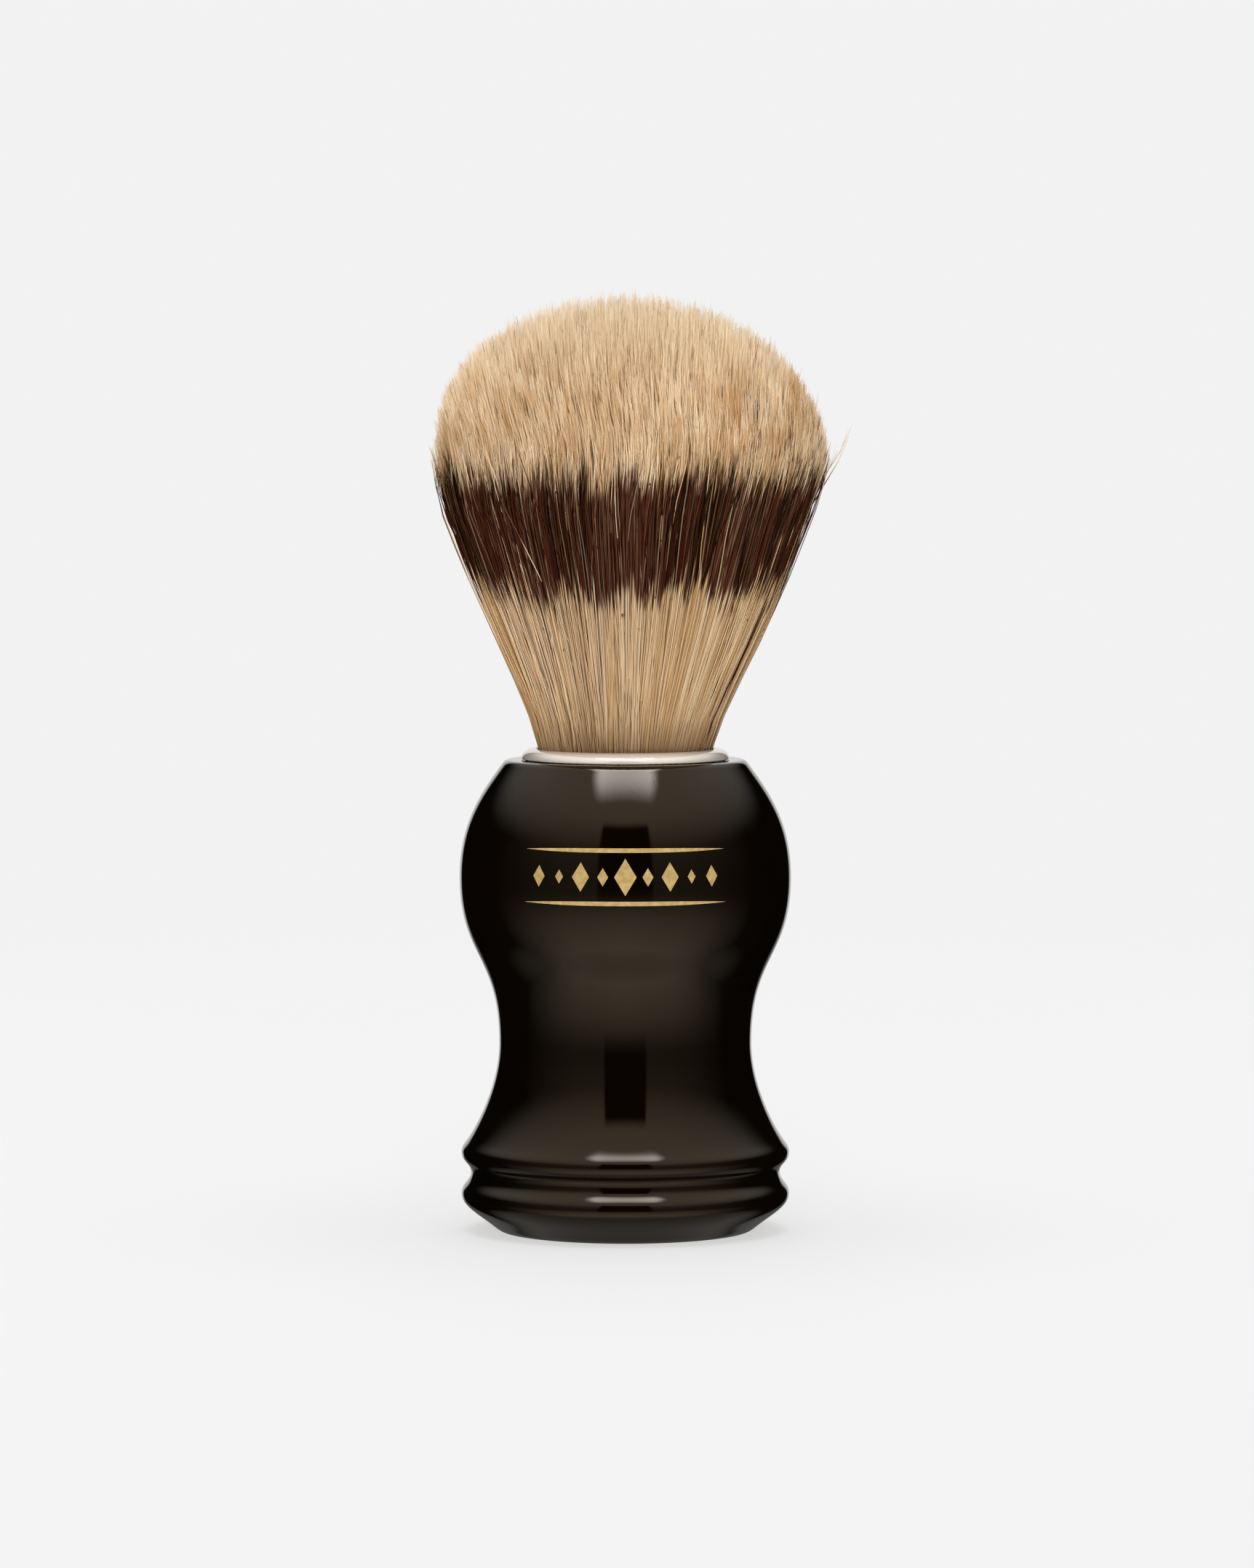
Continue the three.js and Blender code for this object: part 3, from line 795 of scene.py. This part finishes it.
# Each bristle has a bend, a slow wave and a tip that curls its own way
unruly = np.where(wayward & (share < 0.9), 2.4, 1.0)
bend = draw.normal(0, 0.26, (hair_count, 2)) * unruly[:, None]
wave = draw.normal(0, 0.20, (hair_count, 2))
curl = draw.normal(0, 0.24, (hair_count, 2))
arc = np.sin(math.pi * rise)[:, :, None] * bend[:, None, :]
ripple = np.sin(2.6 * math.pi * rise + draw.uniform(0, 6.28, hair_count)[:, None])
ripple = ripple[:, :, None] * (rise[:, :, None] * wave[:, None, :])
hook = np.clip((rise - 0.72) / 0.28, 0, 1)[:, :, None] ** 2 * curl[:, None, :]
flown = (share > 0.94) & (draw.random(hair_count) < 0.05)
kick = np.where(flown, draw.uniform(0.3, 1.3, hair_count), 0.0)[:, None] * rise**2
outward = np.stack([np.cos(angle), np.sin(angle)], axis=1)
paths[:, :, :2] += arc + ripple + hook + kick[:, :, None] * outward[:, None, :]
astray = (share > 0.90) & (draw.random(hair_count) < 0.035)
drift = np.where(astray, draw.normal(0, 4.5, hair_count), 0.0)[:, None] * rise**1.6
lift = np.where(astray, 0.45, 0.0)[:, None] * rise
sideways = np.stack([-np.sin(angle), np.cos(angle)], axis=1)
paths[:, :, :2] += drift[:, :, None] * sideways[:, None, :] + lift[:, :, None] * outward[:, None, :]
thickness = draw.uniform(0.8, 1.2, hair_count)[:, None]
radii = 0.5 * thickness * (root_d + (tip_d - root_d) * rise**1.2)
radii[:, -1] *= 0.35

# The free tip of a boar bristle is split into two finer ends
split_start = 0.9 * paths[:, -2] + 0.1 * paths[:, -1]
splits = []
for _ in range(2):
    end = paths[:, -1] + draw.normal(0, 1.0, (hair_count, 3)) * (0.20, 0.20, 0.35)
    middle = 0.5 * (split_start + end) + draw.normal(0, 0.06, (hair_count, 3))
    splits.append(np.stack([split_start, middle, end], axis=1))
split_radii = np.broadcast_to(0.5 * split_d * np.array([1.0, 0.8, 0.3]), (hair_count, 3))

tone = np.clip(draw.normal(0.42, 0.36, hair_count) + draw.normal(0, 0.10, clump_count)[own_clump]
               + draw.normal(0, 0.22, lock_count)[own_lock], 0, 1)
chance = draw.random(hair_count)
take_up = np.where(chance < 0.012, draw.uniform(0.0, 0.3, hair_count),
                   np.where(chance < 0.22, draw.uniform(0.74, 0.96, hair_count),
                            draw.uniform(0.97, 1.0, hair_count)))
dyed_whole = draw.random(hair_count) < 0.009
ragged = (draw.normal(0, 1.0, hair_count) + draw.normal(0, 0.9, clump_count)[own_clump]
          + draw.normal(0, 0.5, lock_count)[own_lock])
late = draw.random(hair_count) < np.where(paths[:, -1, 0] > 14.0, 0.10, 0.012)
ragged -= np.where(late, draw.uniform(2.0, 12.0, hair_count), 0.0)

# Hair colour: pale to honey by each hair's tone, with the dyed band and dye specks; painted shade
# darkens it by height and a painted highlight creams the top tips
hair_dye_and_painted_light, dye_in, dye_out = new_group(
    "hair_dye_and_painted_light",
    {"Pale": (0.80, 0.62, 0.40), "Honey": (0.60, 0.40, 0.19), "Tip": (1.0, 0.84, 0.58),
     "Dark": (0.005, 0.0010, 0.0005), "Brown": (0.080, 0.017, 0.006),
     "Band Low": 76.5, "Band High": 90.3},
    {"Color": "NodeSocketColor"})


def stored(tree, name):
    """A number stored on the hairs' own points."""
    made = tree.nodes.new("ShaderNodeAttribute")
    made.attribute_name = name
    return made.outputs["Fac"]


def mix_colour(tree, factor, first, second):
    made = tree.nodes.new("ShaderNodeMix")
    made.data_type = "RGBA"
    for socket, value in ((made.inputs[0], factor), (made.inputs[6], first),
                          (made.inputs[7], second)):
        if isinstance(value, (int, float)):
            socket.default_value = value
        elif isinstance(value, tuple):
            socket.default_value = (*value, 1)
        else:
            tree.links.new(value, socket)
    return made.outputs[2]


level = stored(hair_dye_and_painted_light, "dye_level")
hair_tone = stored(hair_dye_and_painted_light, "tone")
dyed = stored(hair_dye_and_painted_light, "take_up")
along_hair = stored(hair_dye_and_painted_light, "along")
ground = mix_colour(hair_dye_and_painted_light, hair_tone, dye_in.outputs["Pale"], dye_in.outputs["Honey"])
# Cream tips: partly bleached hair ends and partly a painted highlight, since they turn cream only
# near the top of the dome
bleached_tips_and_top_highlight = math_node(hair_dye_and_painted_light, "MULTIPLY", fade(hair_dye_and_painted_light, along_hair, 0.80, 0.96),
                      fade(hair_dye_and_painted_light, level, 98.0, 107.0, 0.0, 0.45))
ground = mix_colour(hair_dye_and_painted_light, bleached_tips_and_top_highlight, ground, dye_in.outputs["Tip"])
# Painted shade: the shafts below the dyed band are darkened towards brown
painted_shade_shafts = fade(hair_dye_and_painted_light, level, 74.0, 84.0, 0.66, 1.0)
ground = mix_colour(hair_dye_and_painted_light, painted_shade_shafts, (0.37, 0.25, 0.145), ground)
# Painted shade: the hair just above the band, at the foot of the dome, is darkened towards honey
painted_shade_crown = fade(hair_dye_and_painted_light, level, 90.5, 97.0, 0.72, 1.0)
ground = mix_colour(hair_dye_and_painted_light, painted_shade_crown, (0.46, 0.29, 0.145), ground)
# Painted shade: the hair near the collar ring is darkened towards deep brown
painted_shade_roots = fade(hair_dye_and_painted_light, level, 56.5, 67.0, 0.36, 1.0)
ground = mix_colour(hair_dye_and_painted_light, painted_shade_roots, (0.30, 0.17, 0.07), ground)
ink = mix_colour(hair_dye_and_painted_light, hair_tone, dye_in.outputs["Brown"], dye_in.outputs["Dark"])
above_low = fade(hair_dye_and_painted_light, math_node(hair_dye_and_painted_light, "SUBTRACT", level, dye_in.outputs["Band Low"]),
                 -0.9, 0.9)
below_high = fade(hair_dye_and_painted_light, math_node(hair_dye_and_painted_light, "SUBTRACT", level, dye_in.outputs["Band High"]),
                  -1.3, 1.6, 1.0, 0.0)
in_band = math_node(hair_dye_and_painted_light, "MULTIPLY", dyed, math_node(
    hair_dye_and_painted_light, "MULTIPLY", above_low, below_high))
crumbs = node(hair_dye_and_painted_light, "ShaderNodeTexNoise", scale=900.0, detail=1.0)
hair_dye_and_painted_light.links.new(node(hair_dye_and_painted_light, "ShaderNodeTexCoord").outputs["Object"], crumbs.inputs["Vector"])
specks = math_node(hair_dye_and_painted_light, "MULTIPLY", fade(hair_dye_and_painted_light, crumbs.outputs["Fac"], 0.74, 0.78),
                   fade(hair_dye_and_painted_light, level, 66.0, 76.0))
specks = math_node(hair_dye_and_painted_light, "MULTIPLY", specks, fade(hair_dye_and_painted_light, level, 92.0, 98.0, 0.9, 0.0))
ground = mix_colour(hair_dye_and_painted_light, specks, ground, dye_in.outputs["Brown"])
hair_dye_and_painted_light.links.new(mix_colour(hair_dye_and_painted_light, in_band, ground, ink), dye_out.inputs["Color"])


def hair_material(name, pale, honey):
    made, tree, shader = material(name, 0.5)
    shader.inputs["Specular IOR Level"].default_value = 0.08
    shader.inputs["Specular Tint"].default_value = (1.0, 0.86, 0.70, 1)
    used = tree.nodes.new("ShaderNodeGroup")
    used.node_tree = hair_dye_and_painted_light
    used.inputs["Pale"].default_value = (*pale, 1)
    used.inputs["Honey"].default_value = (*honey, 1)
    tree.links.new(used.outputs["Color"], shader.inputs["Base Color"])
    return made


# The inner tufts take a slightly darker copy of the same colours: painted shade for the inside of
# the knot
outer_hair = hair_material("outer_bristle", (0.955, 0.755, 0.51), (0.60, 0.34, 0.13))
inner_hair = hair_material("inner_bristle", (0.94, 0.73, 0.48), (0.58, 0.325, 0.125))


def store(mesh, name, values):
    attribute = mesh.attributes.new(name, "FLOAT", "POINT")
    attribute.data.foreach_set("value", np.asarray(values, np.float32).ravel())


def hair_piece(name, chosen, finish, stands_for=()):
    """One tuft: its hairs and their split tips, with their colour facts and their map."""
    sides = 3
    batches = [(paths[chosen], radii[chosen], rise[chosen])]
    for split in splits:
        split_rise = rise[chosen][:, -1:] + np.zeros((1, split_points))
        batches.append((split[chosen], split_radii[chosen], split_rise))
    piece = tube_mesh(name, [(path * MM, radius * MM) for path, radius, _ in batches], sides)
    count = len(chosen)
    rows = 2
    columns = math.ceil(count / rows)
    order = np.arange(count)
    column_u = (order % columns + 0.5) / columns
    row_v = (order // columns) / rows
    around = (np.arange(sides) / (sides - 1) - 0.5) * 0.8 / columns
    whole = dyed_whole[chosen][:, None]
    facts = {"dye_level": [], "tone": [], "take_up": [], "along": [], "u": [], "v": []}
    for batch, (path, _, batch_rise) in enumerate(batches):
        points = path.shape[1]
        dye_level = np.where(whole, 83.0, path[:, :, 2] + ragged[chosen][:, None])
        begin = 0.02 if batch == 0 else 0.90
        up_hair = np.linspace(begin, 0.98, points)[None, :, None] / rows
        for key, values in (
                ("dye_level", dye_level[:, :, None]),
                ("tone", tone[chosen][:, None, None]),
                ("take_up", take_up[chosen][:, None, None]),
                ("along", batch_rise[:, :, None]),
                ("u", column_u[:, None, None] + around[None, None, :]),
                ("v", row_v[:, None, None] + up_hair)):
            facts[key].append(np.broadcast_to(values, (count, points, sides)).ravel())
    facts = {key: np.concatenate(values) for key, values in facts.items()}
    for key in ("dye_level", "tone", "take_up", "along"):
        store(piece.data, key, facts[key])
    loops = np.empty(len(piece.data.loops), np.int32)
    piece.data.loops.foreach_get("vertex_index", loops)
    layer = piece.data.uv_layers.new(name="OFBake")
    layer.data.foreach_set("uv", np.stack([facts["u"][loops], facts["v"][loops]],
                                          axis=1).astype(np.float32).ravel())
    piece.data.materials.append(finish)
    if stands_for:
        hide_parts(*stands_for)
    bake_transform(piece)
    return piece


core_share, inner_share = 1 / 3, 2 / 3
inner_tufts, outer_tufts = 6, 12
hair_piece("bristle_core_hairs", np.flatnonzero(share < core_share), inner_hair,
           ["bristle_core"])


def tuft_ring(label, count, low_share, high_share, finish):
    sector = np.round(angle / (2 * math.pi / count)).astype(int) % count
    ring = (share >= low_share) & (share < high_share)
    for i in range(count):
        chosen = np.flatnonzero(ring & (sector == i))
        hair_piece(f"{label}_{i + 1:02d}_hairs", chosen, finish,
                   [f"{label}_{i + 1:02d}"])


tuft_ring("inner_tuft", inner_tufts, core_share, inner_share, inner_hair)
tuft_ring("outer_tuft", outer_tufts, inner_share, 1.1, outer_hair)

# ---------------------------------------------------------------------------
# Bristle roots: the bonded part of the same hairs, below the collar.
# ---------------------------------------------------------------------------
roots, roots_tree, roots_shader = material("packed_roots", 0.6)
packed = node(roots_tree, "ShaderNodeTexVoronoi", scale=4500.0)
flatten = node(roots_tree, "ShaderNodeMapping")
flatten.inputs["Scale"].default_value = (1.0, 1.0, 0.02)
roots_tree.links.new(node(roots_tree, "ShaderNodeTexCoord").outputs["Object"],
                     flatten.inputs["Vector"])
roots_tree.links.new(flatten.outputs[0], packed.inputs["Vector"])
roots_tree.links.new(
    ramp(roots_tree, packed.outputs["Distance"], [(0.1, (0.55, 0.38, 0.19)),
                                                  (0.7, (0.16, 0.09, 0.04))]),
    roots_shader.inputs["Base Color"])
roots_relief = node(roots_tree, "ShaderNodeBump", strength=0.6)
roots_relief.inputs["Distance"].default_value = 0.00008
roots_relief.invert = True
roots_tree.links.new(packed.outputs["Distance"], roots_relief.inputs["Height"])
roots_tree.links.new(roots_relief.outputs[0], roots_shader.inputs["Normal"])
dress("bristle_roots", roots)
